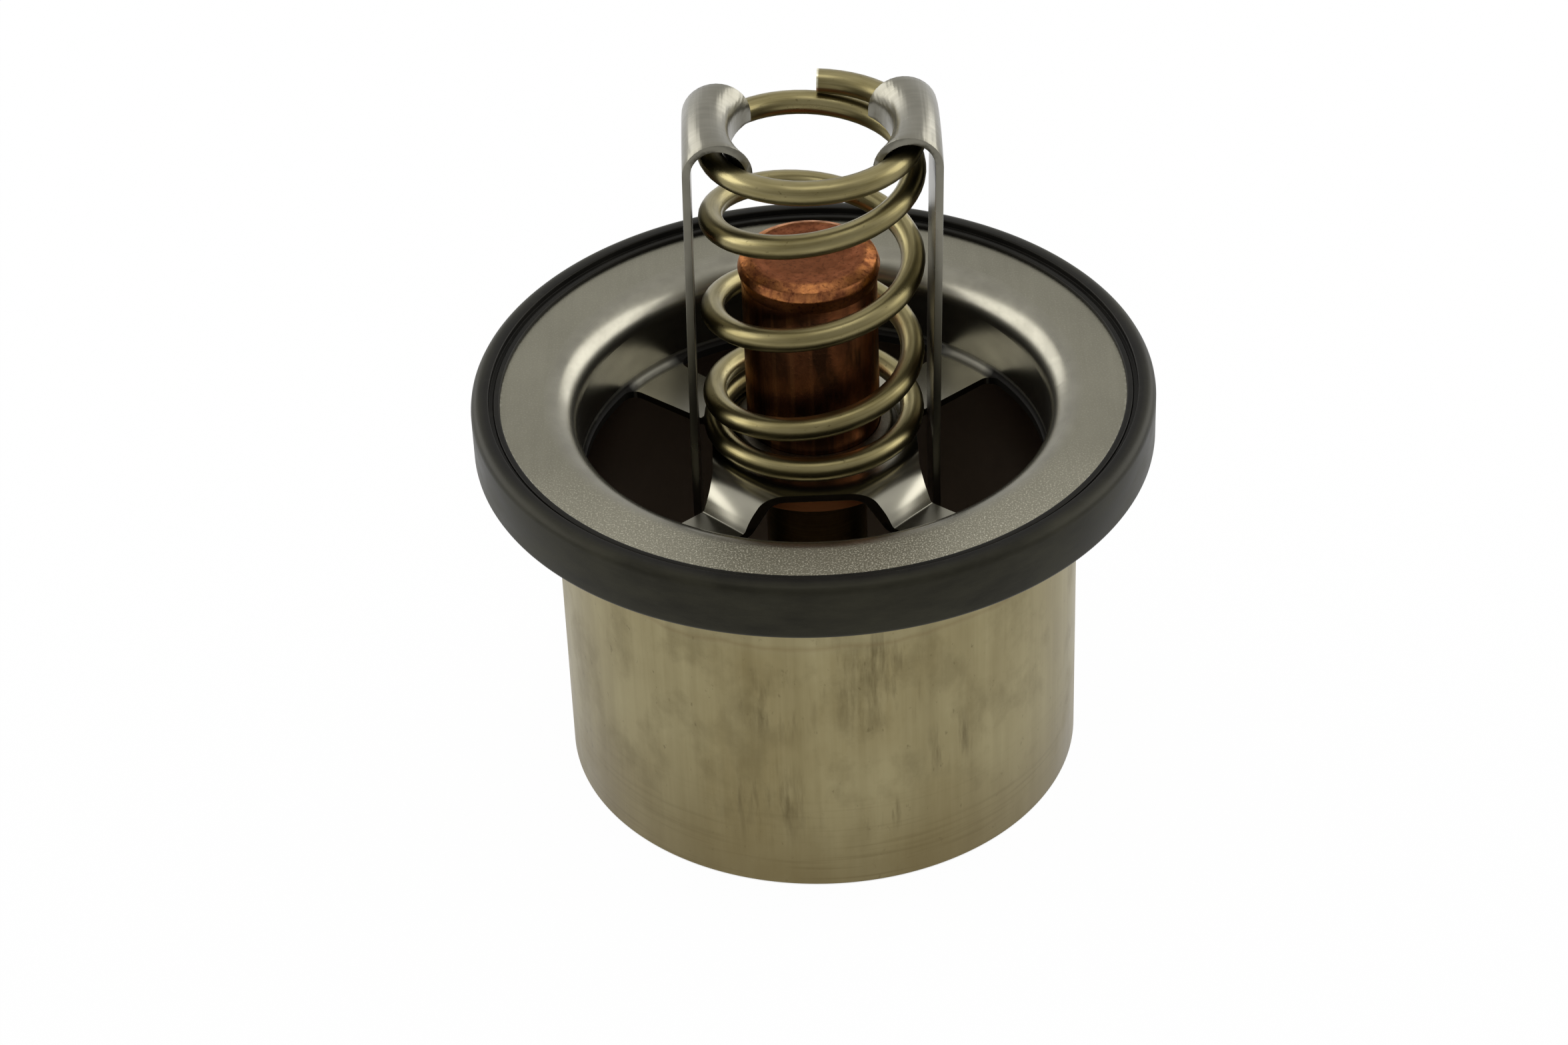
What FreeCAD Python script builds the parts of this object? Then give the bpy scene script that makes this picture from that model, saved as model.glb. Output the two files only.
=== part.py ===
import FreeCAD, Part

import math
import os

# Sleeve-valve thermostat of a heavy engine. Millimetres, +Z up, origin at the centre of
# the sleeve's lower rim. The valve is modelled shut: the inner edge of the sleeve's upper rim
# is on its seat, the under side of the bowl's rolled edge.

# Sleeve: a drawn tube, open at both ends
sleeve_outer_r = 31.0
sleeve_wall = 0.8
sleeve_length = 48.9
sleeve_edge_r = 0.3

# Flange and bowl: one stamping with four windows and a raised hub
sheet = 0.9
flange_r = 38.4
bowl_gap = 1.6
bowl_roll_r = 3.5
bowl_depth = 10.4
bowl_bend_r = 0.8
hub_rise = 4.9
hub_margin = 1.1
riser_run = 2.05
knee_r = 1.6
foot_bend_r = 0.5

# Windows of the bowl
window_ledge = 0.4
window_inner_half = 8.4
window_corner_r = 2.2
window_rim_corner_r = 1.4
arm_end_half = 3.85
seat_margin = 0.9

# Seal ring: moulded round the flange's edge
ring_overhang = 1.6
ring_lip_reach = 1.8
ring_lip_width = 0.8
ring_lip_height = 0.45
ring_groove_width = 0.5
ring_groove_depth = 0.25
ring_rise = 1.0
ring_shoulder_r = 1.1
ring_depth = 6.0
ring_hold = 3.4
ring_edge_r = 0.6
ring_bead_r = 0.15

# Wax element: a cup crimped round the guide's flange
cup_r = 7.8
cup_head_r = 8.2
cup_head_height = 3.2
cup_top_flat_r = 6.5
cup_shoulder_drop = 1.5
cup_shoulder_fall = 0.55
cup_shoulder_r = 0.6
cup_head_flare = 0.3
cup_rise = 24.2
cup_wall = 0.7
cup_flange_r = 11.7
cup_neck_r = 0.5
crimp_width = 1.8
crimp_edge_r = 0.4
hub_hole_clearance = 0.7
diaphragm_thickness = 0.6
guide_flange_thickness = 1.2
guide_stem_r = 6.0
guide_nose_r = 4.2
guide_nose_length = 4.0
guide_stem_length = 19.2
plug_mouth_r = 5.4
plug_length = 4.6
disc_thickness = 0.8
rod_r = 2.5
rod_clearance = 0.03
rod_chamfer = 0.5
wax_top_gap = 0.05

# Dished washer round the cup's foot
washer_outer_r = 10.0
washer_thickness = 0.5
washer_dish = 0.9
washer_clearance = 0.05

# Return spring: close end coils and an open middle
wire_r = 1.15
spring_mean_r = 11.75
spring_height = 41.46
spring_turns = 4.9
close_turns = 0.5
ramp_turns = 1.05
close_pitch = 1.5
points_per_turn = 16
spring_start_deg = 85.0

# Stirrup: a bent strip whose two hooks hold the spring's top coil
strip = 0.9
strip_width = 13.6
strip_bend_r = 2.0
coil_gap = 0.7
strap_clearance = 1.6
hook_clearance = 0.4
hook_headroom = 0.6
hook_tail = 4.0
hook_base_drop = 6.0
hook_sections = 5

# Bridge across the sleeve, and what joins it to the stirrup
rod_reach = 2.9
bridge_thickness = 1.2
bridge_width = 14.0
bridge_tab = 7.0
bridge_bend_r = 2.0
seat_flange_r = 5.0
seat_flange_height = 2.0
seat_shank_r = 3.4
seat_foot_r = 4.4
seat_foot_height = 0.8
seat_socket_depth = 1.6
rivet_r = 1.5
rivet_head_r = 2.9
rivet_head_height = 1.3

# Levels and radii that follow from the sizes above
sleeve_inner_r = sleeve_outer_r - sleeve_wall
bowl_inner_r = sleeve_inner_r - bowl_gap - sheet
window_rim_r = bowl_inner_r - window_ledge
ring_outer_r = flange_r + ring_overhang
ring_lip_r = flange_r - ring_lip_reach
ring_lower_r = flange_r - ring_hold
strap_inner_x = spring_mean_r + wire_r + coil_gap
side_window_inner = strap_inner_x - strap_clearance
front_window_inner = spring_mean_r + wire_r + seat_margin
hub_reach = spring_mean_r + wire_r + hub_margin
foot_reach = hub_reach + riser_run
pan_inner_r = (foot_reach + bowl_inner_r) / 2
arm_end = pan_inner_r + sheet
roll_under_r = bowl_roll_r - sheet
seat_run = max(roll_under_r - bowl_gap, 0)
seat_sag = roll_under_r - math.sqrt(roll_under_r ** 2 - seat_run ** 2)
flange_under_z = sleeve_length + seat_sag
flange_top_z = flange_under_z + sheet
floor_z = flange_top_z - bowl_depth
hub_z = floor_z + hub_rise
hub_under_z = hub_z - sheet
hub_hole_r = cup_r + hub_hole_clearance
cup_top_z = hub_z + cup_rise
crimp_depth = 2 * cup_wall + diaphragm_thickness + guide_flange_thickness
crimp_under_z = hub_under_z - crimp_depth
diaphragm_r = cup_flange_r - cup_wall
diaphragm_top_z = hub_under_z - cup_wall
guide_top_z = diaphragm_top_z - diaphragm_thickness
guide_under_z = guide_top_z - guide_flange_thickness
guide_nose_z = guide_under_z - guide_stem_length
plug_foot_z = guide_top_z - plug_length
rod_top_z = plug_foot_z - disc_thickness
bore_r = rod_r + rod_clearance
spring_top_z = hub_z + spring_height
hook_under_z = spring_top_z + hook_headroom
hook_tail_z = hook_under_z - hook_tail
hook_base_z = spring_top_z - hook_base_drop
seat_top_z = guide_nose_z - rod_reach
socket_z = seat_top_z - seat_socket_depth
stirrup_floor_z = seat_top_z - seat_flange_height
bridge_top_z = stirrup_floor_z - strip
bridge_under_z = bridge_top_z - bridge_thickness
rivet_offset = (seat_flange_r + strap_inner_x - strip_bend_r) / 2

AXIS = FreeCAD.Vector(0, 0, 1)
ORIGIN = FreeCAD.Vector(0, 0, 0)
SIDE = FreeCAD.Vector(0, 1, 0)
FULL_TURN = 360.0
OVERCUT = 1.0
NEAR = 1e-6


def section_point(r, z):
    """A point of a section drawn in the XZ plane."""
    return FreeCAD.Vector(r, 0, z)


def corner_arc(before, corner, after, radius):
    """The two tangent points and the middle point of a rounded corner."""
    to_before = (before - corner).normalize()
    to_after = (after - corner).normalize()
    half = to_before.getAngle(to_after) / 2
    reach = radius / math.tan(half)
    bisector = (to_before + to_after).normalize()
    middle = corner + bisector * (radius / math.sin(half) - radius)
    return corner + to_before * reach, middle, corner + to_after * reach


def rounded_edges(points, radii, closed=False):
    """Edges through the points, with each corner rounded to its radius (0 leaves it sharp)."""
    count = len(points)
    corners = []
    for i, (point, radius) in enumerate(zip(points, radii)):
        at_end = not closed and i in (0, count - 1)
        if at_end or radius == 0:
            corners.append((point, None, point))
        else:
            corners.append(corner_arc(points[i - 1], point, points[(i + 1) % count], radius))
    edges = []
    for i, (start, middle, end) in enumerate(corners):
        if middle is not None:
            edges.append(Part.Arc(start, middle, end).toShape())
        if i + 1 < count or closed:
            next_start = corners[(i + 1) % count][0]
            if not end.isEqual(next_start, NEAR):
                edges.append(Part.makeLine(end, next_start))
    return edges


def closed_face(points, radii):
    """A face inside a closed outline with rounded corners."""
    return Part.Face(Part.Wire(rounded_edges(points, radii, closed=True)))


def offset_line(points, distance):
    """The open line of points moved sideways, to its left as seen against +Y."""
    normals = []
    for start, end in zip(points, points[1:]):
        along = (end - start).normalize()
        normals.append(section_point(-along.z, along.x))
    moved = [points[0] + normals[0] * distance]
    for point, first, second in zip(points[1:], normals, normals[1:]):
        mean = (first + second).normalize()
        moved.append(point + mean * (distance / mean.dot(first)))
    moved.append(points[-1] + normals[-1] * distance)
    return moved


def sheet_face(points, bend_radii, thickness):
    """The section of a bent sheet. The points follow one face of it and the thickness
    lies to their left; each bend radius is that of the bend's inner side."""
    moved = offset_line(points, thickness)
    near, far = [0], [0]
    for before, corner, after, radius in zip(points, points[1:], points[2:], bend_radii):
        turn = (corner - before).cross(after - corner).y
        inner_is_moved = turn < 0
        near.append(radius + thickness if inner_is_moved else radius)
        far.append(radius if inner_is_moved else radius + thickness)
    outline = points + moved[::-1]
    radii = near + [0] + (far + [0])[::-1]
    return closed_face(outline, radii)


def revolved(face):
    """A section turned once round the axis."""
    return face.revolve(ORIGIN, AXIS, FULL_TURN)


def extruded_across(face, width):
    """A section in the XZ plane, given its width evenly to both sides of that plane."""
    solid = face.extrude(SIDE * width)
    solid.translate(SIDE * (-width / 2))
    return solid


def sleeve():
    """The drawn tube, with its lower edge rounded on both sides."""
    outline = [section_point(sleeve_inner_r, 0), section_point(sleeve_outer_r, 0),
               section_point(sleeve_outer_r, sleeve_length),
               section_point(sleeve_inner_r, sleeve_length)]
    edge_r = min(sleeve_edge_r, sleeve_wall / 2 - NEAR)
    return revolved(closed_face(outline, [edge_r, edge_r, 0, 0]))


def window_cutter(inner_x):
    """The upright prism of the +X window. Its outer side follows the bowl's wall just inside
    the lower bend, and its slanting sides leave an arm of the floor beside them."""
    end_angle = math.radians(FULL_TURN / 8) - math.asin(arm_end_half / window_rim_r)
    outer_x = window_rim_r * math.cos(end_angle)
    outer_half = window_rim_r * math.sin(end_angle)
    low_z = floor_z - sheet - OVERCUT
    corners = [FreeCAD.Vector(inner_x, -window_inner_half, low_z),
               FreeCAD.Vector(inner_x, window_inner_half, low_z),
               FreeCAD.Vector(outer_x, outer_half, low_z),
               FreeCAD.Vector(outer_x, -outer_half, low_z)]
    middle = FreeCAD.Vector(window_rim_r, 0, low_z)
    rim = Part.Arc(corners[2], middle, corners[3]).toShape()
    sides = [Part.makeLine(corners[3], corners[0]), Part.makeLine(corners[0], corners[1]),
             Part.makeLine(corners[1], corners[2])]
    height = hub_z + OVERCUT - low_z
    prism = Part.Face(Part.Wire(sides + [rim])).extrude(AXIS * height)
    for corner_x, radius in ((inner_x, window_corner_r), (outer_x, window_rim_corner_r)):
        edges = [e for e in prism.Edges
                 if abs(e.BoundBox.ZLength - height) < NEAR
                 and abs(e.BoundBox.Center.x - corner_x) < NEAR]
        prism = prism.makeFillet(radius, edges)
    return prism


def bowl_pan():
    """The turned part of the stamping: outer floor, wall, rolled edge and flange."""
    line = [section_point(flange_r, flange_top_z), section_point(bowl_inner_r, flange_top_z),
            section_point(bowl_inner_r, floor_z), section_point(pan_inner_r, floor_z)]
    return revolved(sheet_face(line, [roll_under_r, bowl_bend_r], sheet))


def hub_cross():
    """The hub with its four arms: two bent strips that cross under a square of sheet."""
    half = [section_point(arm_end, floor_z), section_point(foot_reach, floor_z),
            section_point(hub_reach, hub_z)]
    other_half = [section_point(-p.x, p.z) for p in half[::-1]]
    bends = [foot_bend_r, knee_r, knee_r, foot_bend_r]
    lengthwise = extruded_across(sheet_face(half + other_half, bends, sheet),
                                 2 * window_inner_half)
    crosswise = lengthwise.copy()
    crosswise.rotate(ORIGIN, AXIS, FULL_TURN / 4)
    corner = FreeCAD.Vector(-spring_mean_r, -spring_mean_r, hub_under_z)
    square = Part.makeBox(2 * spring_mean_r, 2 * spring_mean_r, sheet, corner)
    cross = lengthwise.fuse([crosswise, square])
    cross.rotate(ORIGIN, AXIS, FULL_TURN / 8)
    return cross


def flange_bowl():
    """The stamping, with the hub's hole and two pairs of windows cut out of it."""
    body = bowl_pan().fuse(hub_cross()).removeSplitter()
    hole = Part.makeCylinder(hub_hole_r, sheet + 2 * OVERCUT, AXIS * (hub_under_z - OVERCUT))
    body = body.cut(hole)
    for inner_x, start_deg in ((side_window_inner, 0.0), (front_window_inner, FULL_TURN / 4)):
        cutter = window_cutter(inner_x)
        for angle in (start_deg, start_deg + FULL_TURN / 2):
            turned = cutter.copy()
            turned.rotate(ORIGIN, AXIS, angle)
            body = body.cut(turned)
    return body


def seal_ring():
    """The moulded ring: a lip and a groove beside the metal, then the broad outer band."""
    lip_top_z = flange_top_z + ring_lip_height
    groove_z = lip_top_z - ring_groove_depth
    crown_z = flange_top_z + ring_rise
    lip_end_r = ring_lip_r + ring_lip_width
    band_r = lip_end_r + ring_groove_width
    foot_z = flange_top_z - ring_depth
    outline = [
        section_point(ring_lip_r, flange_top_z), section_point(ring_lip_r, lip_top_z),
        section_point(lip_end_r, lip_top_z), section_point(lip_end_r, groove_z),
        section_point(band_r, groove_z), section_point(band_r, crown_z),
        section_point(ring_outer_r, crown_z), section_point(ring_outer_r, foot_z),
        section_point(ring_lower_r, foot_z), section_point(ring_lower_r, flange_under_z),
        section_point(flange_r, flange_under_z), section_point(flange_r, flange_top_z)]
    radii = [0, ring_bead_r, ring_bead_r, 0, 0, ring_bead_r,
             ring_shoulder_r, ring_edge_r, ring_edge_r, 0, 0, 0]
    return revolved(closed_face(outline, radii))


def wax_cup():
    """The copper cup: a swelled head, a plain body and a flange crimped round the guide."""
    head_foot_z = cup_top_z - cup_head_height
    head_z = cup_top_z - cup_shoulder_drop
    inner_r = cup_r - cup_wall
    lip_inner_r = cup_flange_r - crimp_width
    outer = [section_point(0, cup_top_z), section_point(cup_top_flat_r, cup_top_z),
             section_point(cup_head_r - cup_head_flare, cup_top_z - cup_shoulder_fall),
             section_point(cup_head_r, head_z), section_point(cup_r, head_foot_z),
             section_point(cup_r, hub_under_z), section_point(cup_flange_r, hub_under_z),
             section_point(cup_flange_r, crimp_under_z), section_point(lip_inner_r, crimp_under_z)]
    inner = [section_point(lip_inner_r, guide_under_z), section_point(diaphragm_r, guide_under_z),
             section_point(diaphragm_r, diaphragm_top_z), section_point(inner_r, diaphragm_top_z),
             section_point(inner_r, cup_top_z - cup_wall), section_point(0, cup_top_z - cup_wall)]
    outer_radii = [0, cup_shoulder_r, cup_shoulder_r, cup_shoulder_r, cup_shoulder_r,
                   cup_neck_r, crimp_edge_r, crimp_edge_r, 0]
    inner_radii = [0, 0, 0, 0, cup_wall, 0]
    return revolved(closed_face(outer + inner, outer_radii + inner_radii))


def wax_charge():
    """The wax that fills the cup down to the diaphragm."""
    radius = cup_r - cup_wall - wax_top_gap
    top_z = cup_top_z - cup_wall - wax_top_gap
    outline = [section_point(0, diaphragm_top_z), section_point(radius, diaphragm_top_z),
               section_point(radius, top_z), section_point(0, top_z)]
    return revolved(closed_face(outline, [0, 0, cup_wall, 0]))


def diaphragm():
    """The rubber disc held in the crimp between the wax and the plug."""
    disc = Part.makeCylinder(diaphragm_r, diaphragm_thickness)
    disc.translate(AXIS * guide_top_z)
    return disc


def piston_guide():
    """The brass guide: a flange in the crimp, a stem and a tapered nose, bored for the rod."""
    nose_start_z = guide_nose_z + guide_nose_length
    outline = [section_point(plug_mouth_r, guide_top_z), section_point(diaphragm_r, guide_top_z),
               section_point(diaphragm_r, guide_under_z), section_point(guide_stem_r, guide_under_z),
               section_point(guide_stem_r, nose_start_z), section_point(guide_nose_r, guide_nose_z),
               section_point(bore_r, guide_nose_z), section_point(bore_r, plug_foot_z)]
    return revolved(closed_face(outline, [0] * len(outline)))


def rubber_plug():
    """The cone of rubber that carries the wax's push from the diaphragm to the rod."""
    cone = Part.makeCone(bore_r, plug_mouth_r, plug_length)
    cone.translate(AXIS * plug_foot_z)
    return cone


def backup_disc():
    """The hard disc between the rubber plug and the rod."""
    disc = Part.makeCylinder(rod_r, disc_thickness)
    disc.translate(AXIS * rod_top_z)
    return disc


def piston_rod():
    """The ground rod, with a chamfer at each end."""
    length = rod_top_z - socket_z
    rod = Part.makeCylinder(rod_r, length)
    rod.translate(AXIS * socket_z)
    ends = [e for e in rod.Edges if e.BoundBox.ZLength < NEAR]
    return rod.makeChamfer(rod_chamfer, ends)


def dished_washer():
    """The sprung washer that grips the cup just above the hub."""
    inner_r = cup_r + washer_clearance
    line = [section_point(inner_r, hub_z + washer_dish),
            section_point((inner_r + washer_outer_r) / 2, hub_z + washer_dish),
            section_point(washer_outer_r - washer_thickness, hub_z),
            section_point(washer_outer_r, hub_z)]
    bends = [washer_thickness, washer_thickness]
    return revolved(sheet_face(line, bends, washer_thickness))


def coil_drop(turn, open_pitch):
    """How far the wire has come down after this many turns: the pitch grows evenly from
    the close end coil to the open coils, and shrinks again in the same way."""
    def half_drop(t):
        ramp = min(max(t - close_turns, 0), ramp_turns)
        steady = max(t - close_turns - ramp_turns, 0)
        growth = (open_pitch - close_pitch) / ramp_turns
        close_drop = close_pitch * (min(t, close_turns) + ramp)
        return close_drop + growth * ramp ** 2 / 2 + open_pitch * steady

    middle = spring_turns / 2
    if turn <= middle:
        return half_drop(turn)
    return 2 * half_drop(middle) - half_drop(spring_turns - turn)


def return_spring():
    """The round-wire spring, wound right-handed from its cut end at the back."""
    rise = spring_height - 2 * wire_r
    steady_turns = spring_turns - 2 * close_turns - 2 * ramp_turns
    close_share = close_pitch * (2 * close_turns + ramp_turns)
    open_pitch = (rise - close_share) / (steady_turns + ramp_turns)
    count = round(spring_turns * points_per_turn)
    path = []
    for i in range(count + 1):
        turn = spring_turns * i / count
        angle = math.radians(spring_start_deg - FULL_TURN * turn)
        height = spring_top_z - wire_r - coil_drop(turn, open_pitch)
        path.append(FreeCAD.Vector(spring_mean_r * math.cos(angle),
                                   spring_mean_r * math.sin(angle), height))
    curve = Part.BSplineCurve()
    curve.interpolate(path)
    start_direction = curve.tangent(curve.FirstParameter)[0]
    wire_section = Part.Wire(Part.Circle(path[0], start_direction, wire_r).toShape())
    sweep = Part.BRepOffsetAPI.MakePipeShell(Part.Wire(curve.toShape()))
    sweep.setBiNormalMode(AXIS)
    sweep.add(wire_section)
    sweep.build()
    sweep.makeSolid()
    return sweep.shape()


def hook_section(side_y):
    """The hook's outline at one place along its length: up the strap, in a round arch over
    the coil and down its inner side. It follows the coil, so it reaches furthest in at the
    hook's two ends."""
    coil_inner_x = math.sqrt((spring_mean_r - wire_r) ** 2 - side_y ** 2)
    inner_x = coil_inner_x - hook_clearance
    arch_r = (strap_inner_x - inner_x) / 2
    line = [section_point(inner_x, hook_tail_z), section_point(inner_x, hook_under_z),
            section_point(strap_inner_x, hook_under_z),
            section_point(strap_inner_x, hook_base_z)]
    face = sheet_face(line, [arch_r, arch_r], strip)
    face.translate(SIDE * side_y)
    return face.OuterWire


def hook():
    """The +X hook with the head of its strap."""
    places = [strip_width * (i / (hook_sections - 1) - 0.5) for i in range(hook_sections)]
    return Part.makeLoft([hook_section(y) for y in places], True, False)


def stirrup():
    """The bent strip: two straps, the floor that joins them and a hook on each strap."""
    line = [section_point(-strap_inner_x, hook_base_z),
            section_point(-strap_inner_x, stirrup_floor_z),
            section_point(strap_inner_x, stirrup_floor_z),
            section_point(strap_inner_x, hook_base_z)]
    body = extruded_across(sheet_face(line[::-1], [strip_bend_r] * 2, strip), strip_width)
    right_hook = hook()
    left_hook = right_hook.mirror(ORIGIN, FreeCAD.Vector(1, 0, 0))
    body = body.fuse([right_hook, left_hook]).removeSplitter()
    return body.cut(fastener_holes())


def fastener_holes():
    """The centre hole and the two rivet holes that pass through stirrup and bridge."""
    low_z = bridge_under_z - OVERCUT
    height = stirrup_floor_z + OVERCUT - low_z
    centre = Part.makeCylinder(seat_shank_r, height, AXIS * low_z)
    sides = [Part.makeCylinder(rivet_r, height, FreeCAD.Vector(x, 0, low_z))
             for x in (-rivet_offset, rivet_offset)]
    return centre.fuse(sides)


def sleeve_bridge():
    """The strip across the sleeve, whose turned-down ends lie against the sleeve's wall."""
    tab_z = bridge_under_z - bridge_tab
    line = [section_point(sleeve_inner_r, tab_z), section_point(sleeve_inner_r, bridge_top_z),
            section_point(0, bridge_top_z)]
    pan = revolved(sheet_face(line, [bridge_bend_r], bridge_thickness))
    strip_box = Part.makeBox(2 * sleeve_outer_r, bridge_width, bridge_top_z - tab_z + OVERCUT,
                             FreeCAD.Vector(-sleeve_outer_r, -bridge_width / 2, tab_z))
    return pan.common(strip_box).cut(fastener_holes())


def piston_seat():
    """The socket for the rod's tip, riveted over below the bridge."""
    foot_z = bridge_under_z - seat_foot_height
    outline = [section_point(0, foot_z), section_point(seat_foot_r, foot_z),
               section_point(seat_foot_r, bridge_under_z),
               section_point(seat_shank_r, bridge_under_z),
               section_point(seat_shank_r, stirrup_floor_z),
               section_point(seat_flange_r, stirrup_floor_z),
               section_point(seat_flange_r, seat_top_z), section_point(bore_r, seat_top_z),
               section_point(bore_r, socket_z), section_point(0, socket_z)]
    foot_round = seat_foot_height / 2
    return revolved(closed_face(outline, [0, foot_round, 0, 0, 0, 0, foot_round, 0, 0, 0]))


def rivet(x):
    """A round-headed rivet through stirrup and bridge."""
    dome_r = (rivet_head_r ** 2 + rivet_head_height ** 2) / (2 * rivet_head_height)
    shank = Part.makeCylinder(rivet_r, stirrup_floor_z - bridge_under_z, AXIS * bridge_under_z)
    top_ball = Part.makeSphere(dome_r, AXIS * (stirrup_floor_z + rivet_head_height - dome_r))
    low_ball = Part.makeSphere(dome_r, AXIS * (bridge_under_z - rivet_head_height + dome_r))
    top_slab = Part.makeCylinder(dome_r, rivet_head_height, AXIS * stirrup_floor_z)
    low_slab = Part.makeCylinder(dome_r, rivet_head_height,
                                 AXIS * (bridge_under_z - rivet_head_height))
    body = shank.fuse([top_ball.common(top_slab), low_ball.common(low_slab)])
    body.translate(FreeCAD.Vector(x, 0, 0))
    return body


def build():
    """Every sub-part under its node's name."""
    return {
        "flange_bowl": flange_bowl(),
        "seal_ring": seal_ring(),
        "dished_washer": dished_washer(),
        "wax_cup": wax_cup(),
        "wax_charge": wax_charge(),
        "diaphragm": diaphragm(),
        "piston_guide": piston_guide(),
        "rubber_plug": rubber_plug(),
        "backup_disc": backup_disc(),
        "return_spring": return_spring(),
        "sleeve": sleeve(),
        "sleeve_bridge": sleeve_bridge(),
        "stirrup": stirrup(),
        "piston_rod": piston_rod(),
        "piston_seat": piston_seat(),
        "rivet_left": rivet(-rivet_offset),
        "rivet_right": rivet(rivet_offset),
    }


os.makedirs("parts", exist_ok=True)
for name, shape in build().items():
    shape.exportStep(os.path.join("parts", name + ".step"))
    print(name, "valid", shape.isValid(), "solids", len(shape.Solids),
          "volume", round(shape.Volume, 2))
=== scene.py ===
import math

import bpy
from mathutils import Matrix, Vector


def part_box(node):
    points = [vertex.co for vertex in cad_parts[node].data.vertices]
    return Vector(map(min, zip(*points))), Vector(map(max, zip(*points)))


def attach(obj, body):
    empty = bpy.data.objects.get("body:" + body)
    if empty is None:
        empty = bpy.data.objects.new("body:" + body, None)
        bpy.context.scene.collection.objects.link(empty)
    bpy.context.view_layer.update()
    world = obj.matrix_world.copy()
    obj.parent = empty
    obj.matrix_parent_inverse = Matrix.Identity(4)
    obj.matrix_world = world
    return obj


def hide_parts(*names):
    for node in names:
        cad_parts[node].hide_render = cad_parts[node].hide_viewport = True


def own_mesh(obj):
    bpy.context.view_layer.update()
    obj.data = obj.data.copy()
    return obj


# Sleeve-valve thermostat of a heavy engine. Lengths are metres, +Z is up, and the origin is
# the centre of the sleeve's lower rim.
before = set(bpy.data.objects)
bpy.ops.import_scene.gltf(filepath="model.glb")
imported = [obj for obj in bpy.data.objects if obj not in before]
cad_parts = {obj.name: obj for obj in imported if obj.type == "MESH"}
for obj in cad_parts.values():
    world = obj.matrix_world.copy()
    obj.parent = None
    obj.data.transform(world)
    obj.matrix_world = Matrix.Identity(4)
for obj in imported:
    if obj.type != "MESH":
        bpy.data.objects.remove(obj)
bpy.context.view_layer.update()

MM = 0.001
MERGE = 2e-6
SMOOTH_ANGLE = math.radians(32)
BEVEL_ANGLE = math.radians(60)

# Sides of each turned piece, and steps along each bent one
SLEEVE_SIDES = 224
RING_SIDES = 256
CUP_SIDES = 160
WASHER_SIDES = 128
BORE_SIDES = 48
ROUNDING_STEPS = 5
WIRE_SIDES = 20
STEPS_A_TURN = 56
STRIP_COLUMNS = 15
BEND_STEPS = 8
STRAP_STEPS = 12
ARCH_STEPS = 18
TAIL_STEPS = 3

# Levels and radii read from the frame
sleeve_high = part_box("sleeve")[1]
ring_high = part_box("seal_ring")[1]
bowl_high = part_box("flange_bowl")[1]
spring_low, spring_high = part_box("return_spring")
cup_low, cup_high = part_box("wax_cup")
stirrup_low, stirrup_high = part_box("stirrup")

sleeve_r = sleeve_high[0]
sleeve_top = sleeve_high[2]
ring_r = ring_high[0]
flange_r = bowl_high[0]
flange_top = bowl_high[2]
hub_top = spring_low[2]
spring_top = spring_high[2]
cup_top = cup_high[2]
crimp_under = cup_low[2]
strap_outer = stirrup_high[0]
strip_half = stirrup_high[1]
hook_top = stirrup_high[2]
stirrup_under = stirrup_low[2]
rivet_x = sum(corner[0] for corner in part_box("rivet_right")) / 2

# Sizes that a box doesn't show
sleeve_wall = 0.8 * MM
sheet = 0.9 * MM
bowl_r = 27.7 * MM
roll_r = 3.5 * MM
lip_r = flange_r - 1.8 * MM
floor_top = flange_top - 10.4 * MM
arm_reach = 6.0 * MM
slope_inner_r = 17.5 * MM
slope_outer_r = 19.5 * MM
wire_r = 1.4 * MM
coil_r = spring_high[0] + 0.04 * MM - wire_r
spring_turns = 4.9
close_turns = 0.5
ramp_turns = 1.05
close_pitch = 1.6 * MM
spring_start = math.radians(85)
strip = 0.9 * MM
strip_edge = 0.1 * MM
strip_bend_r = 2.0 * MM
hook_clearance = 0.1 * MM
hook_tail = 4.0 * MM
hook_bands = 5.5 * MM
rivet_r = 1.5 * MM
seat_shank_r = 3.4 * MM
lean = 0.8 * MM

# The worn line round the sleeve, below its top, and its stained places, each with its reach
neck_line_depth = 13.1 * MM
sleeve_stains = [((-7.3 * MM, -30.1 * MM, 12.5 * MM), 8 * MM),
                 ((-6.2 * MM, -30.4 * MM, 27 * MM), 7 * MM),
                 ((5.5 * MM, -30.5 * MM, 31 * MM), 10 * MM),
                 ((6.0 * MM, -30.4 * MM, 10 * MM), 4 * MM),
                 ((14.5 * MM, -27.4 * MM, 18 * MM), 5 * MM),
                 ((26 * MM, 17 * MM, 20 * MM), 9 * MM),
                 ((-20 * MM, 23.5 * MM, 26 * MM), 10 * MM)]

# Colours of the drawn sleeve
KHAKI_DARK = (0.230, 0.188, 0.090, 1)
KHAKI_PALE = (0.335, 0.292, 0.160, 1)
KHAKI_LINE = (0.42, 0.37, 0.22, 1)
KHAKI_STREAK = (0.15, 0.118, 0.052, 1)
KHAKI_BLOTCH = (0.150, 0.122, 0.058, 1)
KHAKI_STAIN = (0.10, 0.078, 0.036, 1)
KHAKI_RUB = (0.11, 0.085, 0.036, 1)
# Painted shade towards the sleeve's foot
KHAKI_FOOT_SHADE = (0.14, 0.104, 0.042, 1)
KHAKI_NECK = (0.34, 0.31, 0.19, 1)
NECK_LINE = (0.15, 0.095, 0.04, 1)
SLEEVE_INSIDE = (0.20, 0.15, 0.105, 1)

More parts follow.
